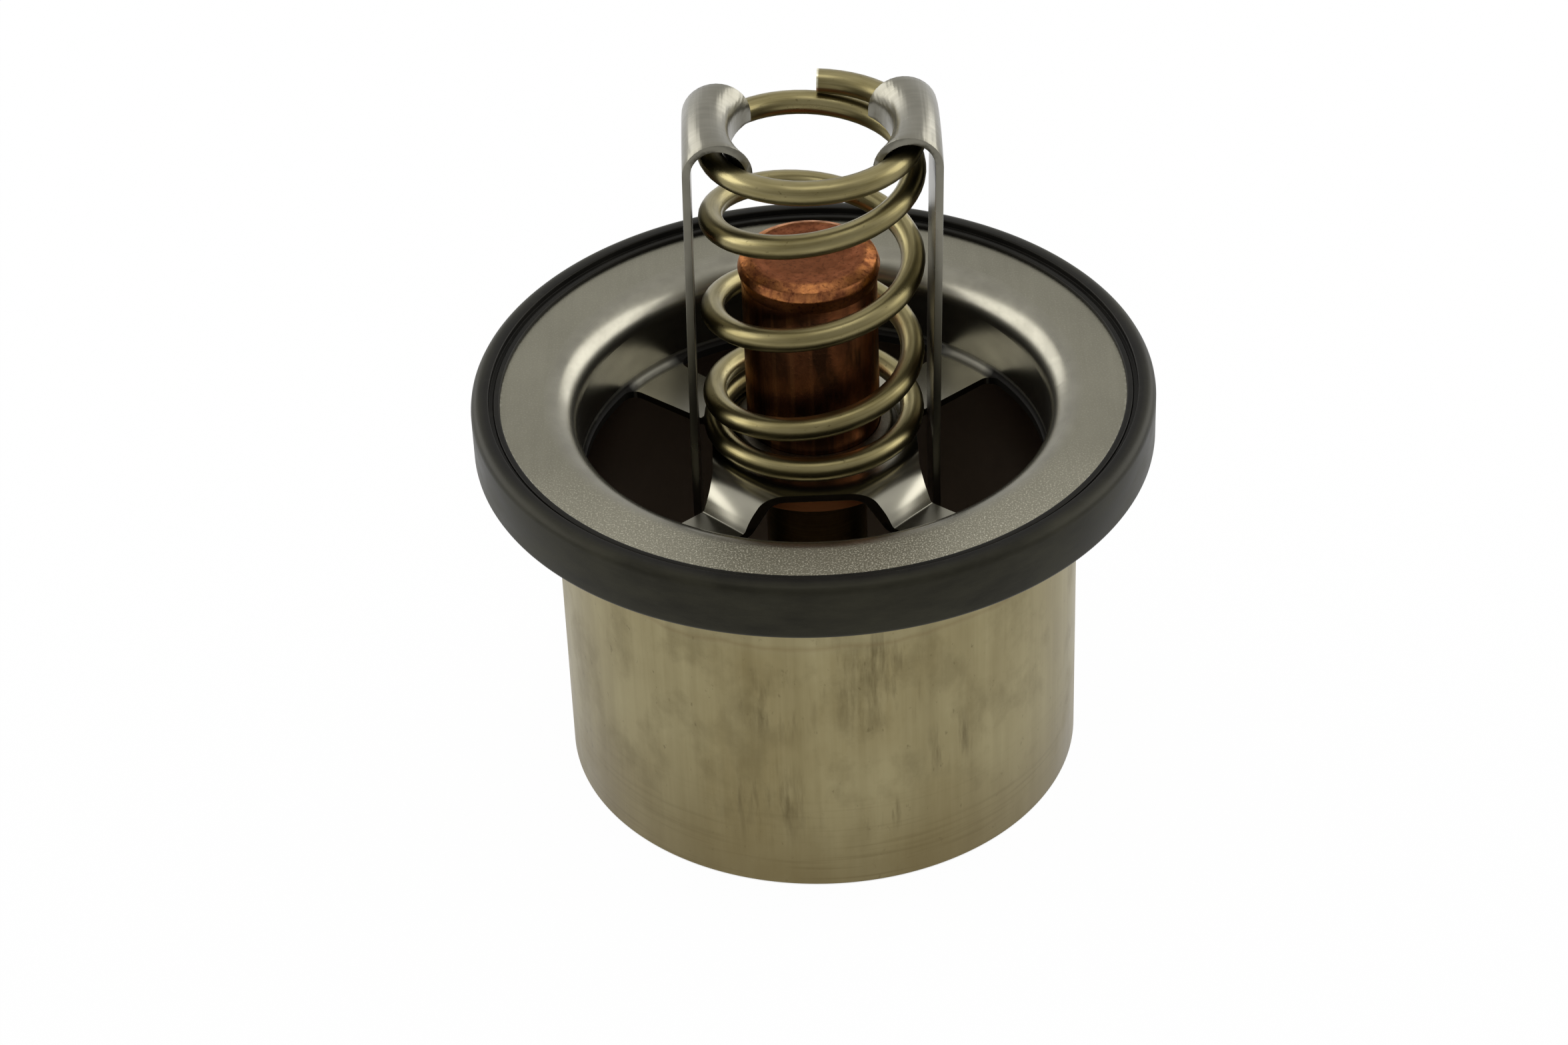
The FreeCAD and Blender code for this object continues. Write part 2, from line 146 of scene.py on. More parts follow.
# Colours of the rubber
RUBBER_DARK = (0.005, 0.0047, 0.0042, 1)
RUBBER_PALE = (0.010, 0.0092, 0.0075, 1)
BAND_BLOOM_AND_SHEEN_DARK = (0.014, 0.0134, 0.0092, 1)
BAND_BLOOM_AND_SHEEN_PALE = (0.031, 0.0295, 0.0195, 1)
RUBBER_SCUFF = (0.03, 0.03, 0.023, 1)
RUBBER_SHEEN = (1.0, 0.94, 0.76, 1)

# Colours of the copper cup
COPPER_DARK = (0.17, 0.056, 0.026, 1)
COPPER_PALE = (0.29, 0.104, 0.050, 1)
COPPER_PIT = (0.08, 0.026, 0.014, 1)
# Worn shoulder with a painted highlight
WORN_SHOULDER_HIGHLIGHT = (0.46, 0.185, 0.060, 1)
WORN_SHOULDER_HIGHLIGHT_PIT = (0.22, 0.078, 0.028, 1)
TARNISH_DARK = (0.085, 0.038, 0.019, 1)
TARNISH_PALE = (0.42, 0.15, 0.06, 1)
COPPER_STREAK = (0.50, 0.22, 0.085, 1)
# Painted light on the crimp
CRIMP_PAINTED_LIGHT = (0.72, 0.31, 0.12, 1)
COPPER_SHEEN = (1.0, 0.76, 0.60, 1)

# Colours of the plated wire
WIRE_DARK = (0.150, 0.124, 0.050, 1)
WIRE_PALE = (0.25, 0.214, 0.104, 1)
WIRE_LINE = (0.37, 0.32, 0.17, 1)
WIRE_NICK = (0.075, 0.06, 0.025, 1)
WIRE_SHEARED = (0.80, 0.76, 0.58, 1)

# Colours of the stamping
FLANGE_DARK = (0.152, 0.144, 0.108, 1)
FLANGE_PALE = (0.205, 0.195, 0.148, 1)
# Painted light: the flange's colour towards the front
FLANGE_FRONT_PAINTED_LIGHT = (0.29, 0.272, 0.205, 1)
DRAWN_DARK = (0.19, 0.18, 0.144, 1)
DRAWN_PALE = (0.235, 0.224, 0.18, 1)
SLOPE_PAINTED_HIGHLIGHT = (0.30, 0.285, 0.228, 1)
SLOPE_FOOT_PAINTED_SHADE = (0.05, 0.047, 0.037, 1)
BEND_PAINTED_SHADE = (0.12, 0.115, 0.094, 1)
# Painted shade beside the windows
BEND_PAINTED_DARK_SHADE = (0.009, 0.008, 0.0065, 1)
# Painted glints of the flange's speckle
PAINTED_GLITTER = (0.62, 0.59, 0.47, 1)
EDGE_PAINTED_GLINT = (0.85, 0.83, 0.72, 1)

# Colours of the strip and the washer
STRAP_DARK = (0.150, 0.142, 0.113, 1)
STRAP_PALE = (0.235, 0.224, 0.182, 1)
SHEARED_DARK = (0.095, 0.087, 0.065, 1)
SHEARED_PALE = (0.19, 0.176, 0.138, 1)
WASHER_DARK = (0.085, 0.076, 0.056, 1)
WASHER_PALE = (0.15, 0.135, 0.10, 1)

# Colours of the inner pieces
BRASS_DARK = (0.30, 0.21, 0.08, 1)
BRASS_PALE = (0.46, 0.34, 0.15, 1)
SEAT_DARK = (0.28, 0.20, 0.08, 1)
SEAT_PALE = (0.44, 0.33, 0.15, 1)
ROD_DARK = (0.40, 0.40, 0.40, 1)
ROD_PALE = (0.52, 0.52, 0.52, 1)
DISC_DARK = (0.70, 0.68, 0.62, 1)
DISC_PALE = (0.78, 0.77, 0.72, 1)
WAX_DARK = (0.34, 0.20, 0.09, 1)
WAX_PALE = (0.42, 0.26, 0.12, 1)

# The white sweep, the room's brightness in reflections and as light, and the lamps' aim
SWEEP_SIZE = 3.0
SWEEP_DROP = 0.02 * MM
SWEEP_COLOUR = (0.85, 0.85, 0.85, 1)
SWEEP_SEEN = 0.98
SWEEP_REFLECTED = 0.7
ROOM_DIM = 0.56
ROOM_LIGHT = 0.5
SOFTBOX_TARGET = Vector((0, 0, 0.04))

# Camera: where the photograph was taken from, and how it was framed
camera_place = Vector((-3.99, -377.68, 310.73)) * MM
camera_pitch = math.radians(36.57)
camera_roll = math.radians(-2.27)
photo_width = 2352.0
focal_pixels = 5884.0
sensor_width = 36.0


# Shader helpers

def add(tree, kind, inputs=(), **settings):
    """Adds one shader node, with its settings, its values and the sockets that feed it."""
    made = tree.nodes.new("ShaderNode" + kind)
    for key, value in settings.items():
        setattr(made, key, value)
    give(tree, made, inputs)
    return made


def give(tree, made, inputs):
    """Joins or sets a node's inputs."""
    for key, value in dict(inputs).items():
        if isinstance(value, bpy.types.NodeSocket):
            tree.links.new(value, made.inputs[key])
        else:
            made.inputs[key].default_value = value


def math_node(tree, operation, first, second=0.0):
    """One arithmetic step on two values."""
    return add(tree, "Math", {0: first, 1: second}, operation=operation).outputs[0]


def times(tree, first, second):
    """Two values multiplied."""
    return math_node(tree, "MULTIPLY", first, second)


def plus(tree, first, second):
    """Two values added."""
    return math_node(tree, "ADD", first, second)


def less(tree, first, second):
    """The first value less the second."""
    return math_node(tree, "SUBTRACT", first, second)


def remap(tree, value, low, high, new_low, new_high):
    """A value's range moved to a new one, clamped."""
    made = add(tree, "MapRange", {"Value": value, "From Min": low, "From Max": high,
                                  "To Min": new_low, "To Max": new_high}, clamp=True)
    return made.outputs["Result"]


def rising(tree, value, low, high):
    """0 up to the low value and 1 from the high one."""
    return remap(tree, value, low, high, 0.0, 1.0)


def falling(tree, value, low, high):
    """1 up to the low value and 0 from the high one."""
    return remap(tree, value, low, high, 1.0, 0.0)


def mix_colour(tree, mask, first, second):
    """First where the mask is 0, second where it is 1."""
    return add(tree, "Mix", {0: mask, 6: first, 7: second}, data_type="RGBA").outputs[2]


def tinted(tree, colour, mask, share, tint):
    """A colour that takes this share of a tint where the mask is 1."""
    return mix_colour(tree, times(tree, mask, share), colour, tint)


def new_group(name, inputs, outputs):
    """An empty node group with its named sockets."""
    group = bpy.data.node_groups.new(name, "ShaderNodeTree")
    for label, kind, value in inputs:
        socket = group.interface.new_socket(name=label, in_out="INPUT", socket_type=kind)
        socket.default_value = value
    for label, kind in outputs:
        group.interface.new_socket(name=label, in_out="OUTPUT", socket_type=kind)
    return group, group.nodes.new("NodeGroupInput").outputs, group.nodes.new("NodeGroupOutput")


def use_group(tree, group, inputs):
    """Places a node group in a material with its own values."""
    made = tree.nodes.new("ShaderNodeGroup")
    made.node_tree = group
    give(tree, made, inputs)
    return made.outputs


def grain_group():
    """Noise drawn out along one direction: rolling grain, drawing lines or streaks."""
    group, given, out = new_group(
        "drawn_grain",
        [("Place", "NodeSocketVector", (0, 0, 0)), ("Fineness", "NodeSocketVector", (1, 1, 1)),
         ("Detail", "NodeSocketFloat", 3.0), ("Low", "NodeSocketFloat", 0.35),
         ("High", "NodeSocketFloat", 0.65)],
        [("Mask", "NodeSocketFloat")])
    scaled = add(group, "VectorMath", {0: given["Place"], 1: given["Fineness"]},
                 operation="MULTIPLY")
    noise = add(group, "TexNoise", {"Vector": scaled.outputs[0], "Scale": 1.0,
                                    "Detail": given["Detail"], "Roughness": 0.6})
    ranged = rising(group, noise.outputs["Fac"], given["Low"], given["High"])
    group.links.new(ranged, out.inputs["Mask"])
    return group


def bumps_group():
    """A height turned into a bent normal."""
    group, given, out = new_group(
        "fine_bumps",
        [("Height", "NodeSocketFloat", 0.0), ("Strength", "NodeSocketFloat", 0.2),
         ("Depth", "NodeSocketFloat", 0.0001)],
        [("Normal", "NodeSocketVector")])
    bump = add(group, "Bump", {"Height": given["Height"], "Strength": given["Strength"],
                               "Distance": given["Depth"]})
    group.links.new(bump.outputs["Normal"], out.inputs["Normal"])
    return group


def level_part(tree, place):
    """A place's part square to the axis."""
    return add(tree, "VectorMath", {0: place, 1: (1.0, 1.0, 0.0)},
               operation="MULTIPLY").outputs[0]


def coned_group():
    """Shades a steep face as a soft cone round the axis. Lean is how far its normals lean
    outward: 0 is straight up and 1 is half way to level."""
    group, given, out = new_group(
        "coned_slope",
        [("Place", "NodeSocketVector", (0, 0, 0)), ("Lean", "NodeSocketFloat", 1.0),
         ("Mask", "NodeSocketFloat", 1.0)],
        [("Normal", "NodeSocketVector")])
    normal = add(group, "NewGeometry").outputs["Normal"]
    radial = add(group, "VectorMath", {0: level_part(group, given["Place"])},
                 operation="NORMALIZE")
    outward = add(group, "VectorMath", {0: radial.outputs[0], "Scale": given["Lean"]},
                  operation="SCALE")
    cone = add(group, "VectorMath", {0: outward.outputs[0], 1: (0.0, 0.0, 1.0)},
               operation="ADD")
    cone = add(group, "VectorMath", {0: cone.outputs[0]}, operation="NORMALIZE")
    upright = add(group, "SeparateXYZ", {0: normal}).outputs["Z"]
    steep = times(group, rising(group, upright, 0.10, 0.30), falling(group, upright, 0.86, 0.98))
    mixed = add(group, "Mix", {0: times(group, steep, given["Mask"]), 4: normal,
                               5: cone.outputs[0]}, data_type="VECTOR")
    even = add(group, "VectorMath", {0: mixed.outputs[1]}, operation="NORMALIZE")
    group.links.new(even.outputs[0], out.inputs["Normal"])
    return group


GRAIN = grain_group()
BUMPS = bumps_group()
CONED = coned_group()


def grain(tree, place, fineness, low=0.35, high=0.65, detail=3.0):
    """A drawn-out noise mask; fineness is in marks per millimetre along X, Y and Z."""
    scale = tuple(f / MM for f in fineness)
    return use_group(tree, GRAIN, {"Place": place, "Fineness": scale, "Low": low, "High": high,
                                   "Detail": detail})["Mask"]


def bumps(tree, height, strength, depth):
    """A height as a bent normal, for the shader's Normal."""
    return use_group(tree, BUMPS, {"Height": height, "Strength": strength,
                                   "Depth": depth})["Normal"]


def from_axis(tree, place):
    """Distance from the part's axis."""
    return add(tree, "VectorMath", {0: level_part(tree, place)},
               operation="LENGTH").outputs["Value"]


def new_material(name, metallic):
    """A material with its shader, and the place on the piece that its pattern reads."""
    made = bpy.data.materials.new(name)
    made.use_nodes = True
    tree = made.node_tree
    shader = tree.nodes["Principled BSDF"]
    shader.inputs["Metallic"].default_value = metallic
    place = add(tree, "TexCoord").outputs["Object"]
    return made, tree, shader, place


def feed(tree, shader, **sockets):
    """Joins or sets the shader's inputs."""
    give(tree, shader, {key.replace("_", " "): value for key, value in sockets.items()})


# Finishes

def rolled_steel(name, dark, pale, fineness, rough, speckled):
    """Dull rolled steel: grain, cloudy patches and fine speckle."""
    made, tree, shader, place = new_material(name, 1.0)
    lines = grain(tree, place, fineness, low=0.3, high=0.7)
    clouds = grain(tree, place, (0.09, 0.07, 0.09), low=0.3, high=0.7, detail=2.0)
    speckle = grain(tree, place, (3.2, 3.2, 3.2), low=0.46, high=0.64, detail=1.0)
    tone = plus(tree, times(tree, lines, 0.3), times(tree, clouds, 0.7 - speckled))
    tone = plus(tree, tone, times(tree, speckle, speckled))
    height = plus(tree, times(tree, lines, 0.4), speckle)
    feed(tree, shader, Base_Color=mix_colour(tree, tone, dark, pale),
         Roughness=remap(tree, tone, 0.0, 1.0, *rough),
         Normal=bumps(tree, height, 0.3, 0.012 * MM))
    return made


def sleeve_finish():
    """Drawn tube, khaki: soft upright streaks of uneven width, blotches and stains, a paler
    band below the ring, a few rub marks round it near its foot and painted shade darkening it
    towards the foot. The inside is darker."""
    made, tree, shader, place = new_material("drawn_khaki", 1.0)
    height = add(tree, "SeparateXYZ", {0: place}).outputs["Z"]
    lines = grain(tree, place, (1.6, 1.6, 0.03), low=0.3, high=0.7, detail=4.0)
    streaks = grain(tree, place, (0.20, 0.20, 0.012), low=0.42, high=0.70, detail=4.0)
    clouds = grain(tree, place, (0.06, 0.06, 0.035), low=0.35, high=0.68, detail=5.0)
    blotches = grain(tree, place, (0.16, 0.16, 0.12), low=0.50, high=0.66, detail=6.0)
    specks = grain(tree, place, (1.2, 1.2, 0.7), low=0.66, high=0.76)
    rubs = grain(tree, place, (0.06, 0.06, 1.7), low=0.52, high=0.68, detail=4.0)
    drips = grain(tree, place, (0.7, 0.7, 0.10), low=0.50, high=0.70, detail=4.0)
    waver = grain(tree, place, (0.12, 0.12, 0.12), low=0.3, high=0.7, detail=2.0)
    foot = falling(tree, height, 2 * MM, 15 * MM)
    half_way = add(tree, "Math", {0: height, 1: 24 * MM, 2: 15 * MM}, operation="COMPARE")
    middle = remap(tree, half_way.outputs[0], 0.0, 1.0, 0.35, 1.0)
    line_height = sleeve_top - neck_line_depth
    worn_height = plus(tree, height, times(tree, waver, 0.8 * MM))
    neck = rising(tree, worn_height, line_height - 1.3 * MM, line_height + 0.9 * MM)
    neck_line = times(tree, rising(tree, worn_height, line_height - 0.5 * MM, line_height),
                      falling(tree, worn_height, line_height, line_height + 0.6 * MM))
    stained = 0.0
    for spot, reach in sleeve_stains:
        away = add(tree, "VectorMath", {0: place, 1: spot}, operation="DISTANCE")
        near = falling(tree, away.outputs["Value"], 0.35 * reach, reach)
        stained = math_node(tree, "MAXIMUM", stained, near)
    blotched = times(tree, blotches, math_node(tree, "MAXIMUM", times(tree, middle, 0.7),
                                               stained))
    colour = mix_colour(tree, clouds, KHAKI_DARK, KHAKI_PALE)
    colour = tinted(tree, colour, lines, 0.13, KHAKI_LINE)
    colour = tinted(tree, colour, streaks, 0.42, KHAKI_STREAK)
    colour = tinted(tree, colour, blotched, 0.52, KHAKI_BLOTCH)
    colour = tinted(tree, colour, specks, 0.5, KHAKI_STAIN)
    colour = tinted(tree, colour, times(tree, rubs, foot), 0.35, KHAKI_RUB)
    # Painted shade: the sleeve is darker towards its foot.
    colour = tinted(tree, colour, foot, 0.5, KHAKI_FOOT_SHADE)
    colour = tinted(tree, colour, times(tree, drips, stained), 0.7, KHAKI_STAIN)
    colour = tinted(tree, colour, neck, 0.2, KHAKI_NECK)
    colour = tinted(tree, colour, neck_line, 0.25, NECK_LINE)
    inside = falling(tree, from_axis(tree, place), sleeve_r - 0.5 * sleeve_wall,
                     sleeve_r - 0.4 * sleeve_wall)
    colour = mix_colour(tree, inside, colour, SLEEVE_INSIDE)
    rough = remap(tree, plus(tree, clouds, times(tree, blotches, 0.5)), 0.0, 1.5, 0.34, 0.48)
    bump = plus(tree, times(tree, lines, 0.5), blotches)
    feed(tree, shader, Base_Color=colour, Roughness=rough,
         Normal=bumps(tree, bump, 0.16, 0.012 * MM))
    return made


def rubber_finish():
    """Moulded black rubber whose outer band is paler olive, partly a faint bloom and partly a
    painted sheen, with fine scuffs on it.
    """
    made, tree, shader, place = new_material("moulded_rubber", 0.0)
    clouds = grain(tree, place, (0.10, 0.10, 0.3), low=0.35, high=0.7, detail=4.0)
    scuffs = grain(tree, place, (0.4, 0.4, 2.6), low=0.6, high=0.74)
    pores = grain(tree, place, (6.0, 6.0, 6.0), low=0.4, high=0.6, detail=1.0)
    band = rising(tree, from_axis(tree, place), ring_r - 1.6 * MM, ring_r - 0.6 * MM)
    # The outer band's paler olive is partly bloom and partly painted sheen.
    colour = mix_colour(tree, band, mix_colour(tree, clouds, RUBBER_DARK, RUBBER_PALE),
                        mix_colour(tree, clouds, BAND_BLOOM_AND_SHEEN_DARK, BAND_BLOOM_AND_SHEEN_PALE))
    colour = tinted(tree, colour, scuffs, 0.25, RUBBER_SCUFF)
    feed(tree, shader, Base_Color=colour, Roughness=remap(tree, clouds, 0.0, 1.0, 0.36, 0.48),
         Specular_IOR_Level=remap(tree, band, 0.0, 1.0, 0.09, 0.12),
         Specular_Tint=RUBBER_SHEEN, Normal=bumps(tree, pores, 0.12, 0.015 * MM))
    return made


def copper_finish():
    """Dull red-brown copper top, an orange-gold shoulder, worn and with a painted highlight, a
    side that is tarnished dark, with broad bright patches and upright streaks towards +X, and a
    crimp painted bright as painted light."""
    made, tree, shader, place = new_material("worn_copper", 1.0)
    apart = add(tree, "SeparateXYZ", {0: place}).outputs
    axis_distance = from_axis(tree, place)
    mottle = grain(tree, place, (0.7, 0.7, 0.5), detail=5.0)
    pits = grain(tree, place, (2.2, 2.2, 2.2), low=0.52, high=0.68)
    patches = grain(tree, place, (0.28, 0.28, 0.10), low=0.42, high=0.62)
    streaks = grain(tree, place, (0.9, 0.9, 0.03), low=0.50, high=0.70, detail=2.0)
    side = falling(tree, apart["Z"], cup_top - 4.2 * MM, cup_top - 2.4 * MM)
    rim = rising(tree, axis_distance, 6.2 * MM, 6.8 * MM)
    crimped = rising(tree, axis_distance, 10.6 * MM, 11.2 * MM)
    wear_and_highlight_patches = remap(tree, mottle, 0.1, 0.9, 0.1, 1.0)
    shoulder = times(tree, times(tree, rim, less(tree, 1.0, side)), wear_and_highlight_patches)
    top = mix_colour(tree, mottle, COPPER_DARK, COPPER_PALE)
    top = tinted(tree, top, pits, 0.75, COPPER_PIT)
    # The shoulder's orange-gold is partly wear and partly a painted highlight.
    worn = mix_colour(tree, pits, WORN_SHOULDER_HIGHLIGHT, WORN_SHOULDER_HIGHLIGHT_PIT)
    towards_x = remap(tree, apart["X"], -5 * MM, 5 * MM, 0.25, 1.0)
    tarnish = mix_colour(tree, times(tree, patches, towards_x), TARNISH_DARK, TARNISH_PALE)
    tarnish = tinted(tree, tarnish, streaks, 0.3, COPPER_STREAK)
    colour = mix_colour(tree, shoulder, top, worn)
    colour = mix_colour(tree, side, colour, tarnish)
    # Painted light: the crimp below the hub is painted bright.
    colour = mix_colour(tree, crimped, colour, CRIMP_PAINTED_LIGHT)
    rough = less(tree, remap(tree, shoulder, 0.0, 1.0, 0.48, 0.28), times(tree, side, 0.14))
    rough = plus(tree, rough, times(tree, crimped, 0.3))
    bump = plus(tree, mottle, times(tree, pits, 0.6))
    feed(tree, shader, Base_Color=colour, Roughness=rough, Specular_Tint=COPPER_SHEEN,
         Normal=bumps(tree, bump, 0.4, 0.03 * MM))
    return made


def wire_finish():
    """Plated spring wire, olive-brass, with drawing lines along it, dull patches and bright
    sheared ends."""
    made, tree, shader, _ = new_material("plated_wire", 1.0)
    place = add(tree, "Attribute", attribute_name="wire_place").outputs["Vector"]
    along = add(tree, "SeparateXYZ", {0: place}).outputs["X"]
    lines = grain(tree, place, (0.05, 3.2, 3.2))
    clouds = grain(tree, place, (0.12, 0.5, 0.5), low=0.35, high=0.68)
    nicks = grain(tree, place, (1.6, 2.2, 2.2), low=0.66, high=0.74, detail=2.0)
    ragged = grain(tree, place, (0.5, 2.6, 2.6), low=0.3, high=0.5)
    sheared = times(tree, ragged, falling(tree, along, 0.1 * MM, 0.3 * MM))
    colour = mix_colour(tree, clouds, WIRE_DARK, WIRE_PALE)
    colour = tinted(tree, colour, lines, 0.3, WIRE_LINE)
    colour = tinted(tree, colour, nicks, 0.6, WIRE_NICK)
    colour = mix_colour(tree, sheared, colour, WIRE_SHEARED)
    feed(tree, shader, Base_Color=colour, Roughness=remap(tree, clouds, 0.0, 1.0, 0.38, 0.26),
         Normal=bumps(tree, lines, 0.15, 0.01 * MM))
    return made


def turned_finish(name, dark, pale, rough, metallic=1.0):
    """A lathe's fine rings on a piece that turns about the axis."""
    made, tree, shader, place = new_material(name, metallic)
    height = add(tree, "SeparateXYZ", {0: place}).outputs["Z"]
    ring_place = add(tree, "CombineXYZ", {"X": from_axis(tree, place), "Z": height}).outputs[0]
    rings = grain(tree, ring_place, (4.0, 1.0, 4.0))
    clouds = grain(tree, place, (0.2, 0.2, 0.2))
    tone = plus(tree, times(tree, rings, 0.5), times(tree, clouds, 0.5))
    feed(tree, shader, Base_Color=mix_colour(tree, tone, dark, pale), Roughness=rough,
         Normal=bumps(tree, rings, 0.2, 0.01 * MM))
    return made


def bowl_steel():
    """The stamping's sheet: bright and smooth where it was drawn over the roll and the wall,
    with a painted highlight on the hub's slopes and painted shade at their foot;
    satin on the flat flange with faint rolling lines, painted lighter towards the front as
    painted light, with a speckle there painted bright as painted glints and painted glints along
    its edge.
    Its lower bend is dull and painted darker as painted shade where it meets an arm, and painted
    near-black as painted shade beside the windows."""
    made, tree, shader, place = new_material("bowl_steel", 1.0)
    apart = add(tree, "SeparateXYZ", {0: place}).outputs
    axis_distance = from_axis(tree, place)
    lines = grain(tree, place, (1.1, 0.06, 1.1), low=0.3, high=0.7)
    clouds = grain(tree, place, (0.08, 0.06, 0.08), low=0.3, high=0.7, detail=4.0)
    drawn = grain(tree, place, (0.22, 0.22, 0.5))
    speckle = grain(tree, place, (4.6, 4.6, 4.6), low=0.52, high=0.66)
    glints = grain(tree, place, (1.4, 1.4, 1.4), low=0.5, high=0.58)

    flat = rising(tree, axis_distance, bowl_r + 0.75 * roll_r, bowl_r + 1.15 * roll_r)
    front = remap(tree, apart["Y"], -36 * MM, -12 * MM, 1.0, 0.1)
    slope = falling(tree, axis_distance, slope_inner_r, slope_outer_r)
    foot = falling(tree, apart["Z"], floor_top + 0.25 * MM, floor_top + 0.7 * MM)
    bend_height = falling(tree, apart["Z"], floor_top + 0.55 * MM, floor_top + 1.1 * MM)
    bend_place = rising(tree, axis_distance, bowl_r - 1.3 * MM, bowl_r - 0.9 * MM)
    bend = times(tree, bend_height, bend_place)
    off_diagonal = less(tree, math_node(tree, "ABSOLUTE", apart["X"]),
                        math_node(tree, "ABSOLUTE", apart["Y"]))
    beside_window = times(tree, bend, rising(tree, math_node(tree, "ABSOLUTE", off_diagonal),
                                             arm_reach - 2.5 * MM, arm_reach))
    lip = rising(tree, axis_distance, lip_r - 0.3 * MM, lip_r - 0.1 * MM)
    speckled = times(tree, times(tree, speckle, flat), front)

    tone = plus(tree, times(tree, clouds, 0.7), times(tree, lines, 0.25))
    satin = mix_colour(tree, tone, FLANGE_DARK, FLANGE_PALE)
    # Painted light: the flat flange is painted lighter towards the front.
    satin = tinted(tree, satin, front, 0.6, FLANGE_FRONT_PAINTED_LIGHT)
    smooth = mix_colour(tree, drawn, DRAWN_DARK, DRAWN_PALE)
    # Painted highlight: the hub's slopes are painted paler.
    smooth = tinted(tree, smooth, slope, 0.7, SLOPE_PAINTED_HIGHLIGHT)
    colour = mix_colour(tree, flat, smooth, satin)
    # Painted glints: the speckle towards the front is painted bright; the same speckle is also
    # bumped into the sheet.
    colour = tinted(tree, colour, speckled, 0.85, PAINTED_GLITTER)
    # Painted shade in the crease at the foot of the hub's slopes.
    colour = tinted(tree, colour, times(tree, foot, slope), 0.5, SLOPE_FOOT_PAINTED_SHADE)
    # Painted shade along the lower bend; the bend is also rougher.
    colour = tinted(tree, colour, bend, 0.7, BEND_PAINTED_SHADE)
    # Painted shade beside the windows: near-black here.
    colour = mix_colour(tree, beside_window, colour, BEND_PAINTED_DARK_SHADE)
    # Painted glints along the flange's edge inside the ring, towards the front.
    colour = mix_colour(tree, times(tree, lip, times(tree, glints, front)), colour, EDGE_PAINTED_GLINT)

    rough = plus(tree, remap(tree, flat, 0.0, 1.0, 0.27, 0.36), times(tree, bend, 0.25))
    rough = less(tree, rough, times(tree, slope, 0.04))
    # Painted shade: metal and specular are taken down beside the windows.
    unshaded_share = less(tree, 1.0, times(tree, beside_window, 0.9))
    lean_out = remap(tree, apart["Z"], hub_top - 3.6 * MM, hub_top, 1.15, 0.15)
    coned = use_group(tree, CONED, {"Place": place, "Lean": lean_out, "Mask": slope})["Normal"]
    height = plus(tree, times(tree, times(tree, lines, 0.15), flat), speckled)
    bent = add(tree, "Bump", {"Height": height, "Strength": 0.5, "Distance": 0.03 * MM,
                              "Normal": coned})
    feed(tree, shader, Base_Color=colour, Roughness=rough, Metallic=unshaded_share,
         Specular_IOR_Level=times(tree, unshaded_share, 0.5), Normal=bent.outputs["Normal"])
    return made


def strap_steel():
    """The strip's rolled faces, with grain along the strip and shallow bands left across the
    hooks by the bending."""
    made, tree, shader, place = new_material("strap_steel", 1.0)
    height = add(tree, "SeparateXYZ", {0: place}).outputs["Z"]
    lines = grain(tree, place, (0.05, 2.2, 0.05), low=0.3, high=0.7)
    clouds = grain(tree, place, (0.15, 0.15, 0.12), low=0.3, high=0.7)
    bands = grain(tree, place, (0.85, 0.03, 0.5), detail=2.0)
    hooked = rising(tree, height, hook_top - hook_bands, hook_top - 3 * MM)
    tone = plus(tree, times(tree, lines, 0.3), times(tree, clouds, 0.6))
    rise = plus(tree, times(tree, lines, 0.06), times(tree, bands, hooked))
    feed(tree, shader, Base_Color=mix_colour(tree, tone, STRAP_DARK, STRAP_PALE),
         Roughness=remap(tree, tone, 0.0, 1.0, 0.34, 0.24),
         Normal=bumps(tree, rise, 0.35, 0.12 * MM))
    return made


def sheared_steel():
    """The strip's sheared edges, duller and greyer."""
    return rolled_steel("sheared_steel", SHEARED_DARK, SHEARED_PALE, (1.0, 3.0, 0.5),
                        rough=(0.5, 0.38), speckled=0.3)


def washer_finish():
    """Dull spring steel."""
    return rolled_steel("spring_steel", WASHER_DARK, WASHER_PALE, (1.0, 1.0, 1.0),
                        rough=(0.5, 0.4), speckled=0.25)


RUBBER = rubber_finish()
STRAP = strap_steel()


# Studio

def studio_world():
    """White to the camera, white in reflections but for the dim room behind the camera, and
    softer for the light that it sheds."""
    world = bpy.data.worlds.new("white_studio")
    bpy.context.scene.world = world
    world.use_nodes = True
    tree = world.node_tree
    path = add(tree, "LightPath").outputs
    seen = math_node(tree, "MAXIMUM", path["Is Camera Ray"], path["Is Glossy Ray"])
    seen = math_node(tree, "MAXIMUM", seen, path["Is Transmission Ray"])
    along = add(tree, "SeparateXYZ", {0: add(tree, "TexCoord").outputs["Generated"]})
    reflected = remap(tree, along.outputs["Y"], -0.7, 0.0, ROOM_DIM, 1.0)
    full = math_node(tree, "MAXIMUM", reflected, path["Is Camera Ray"])
    strength = add(tree, "Mix", {0: seen, 2: ROOM_LIGHT, 3: full}).outputs[0]
    background = tree.nodes["Background"]
    background.inputs["Color"].default_value = (1, 1, 1, 1)
    tree.links.new(strength, background.inputs["Strength"])


def softbox(name, place, width, depth, level):
    """A soft lamp aimed at the part. Its level is the brightness of its face."""
    lamp = bpy.data.lights.new(name, "AREA")
    lamp.shape = "RECTANGLE"
    lamp.size = width
    lamp.size_y = depth
    lamp.energy = level * math.pi * width * depth
    holder = bpy.data.objects.new(name, lamp)
    bpy.context.scene.collection.objects.link(holder)
    holder.location = place
    aim = SOFTBOX_TARGET - Vector(place)
    holder.rotation_euler = aim.to_track_quat("-Z", "Y").to_euler()
    holder.visible_camera = False


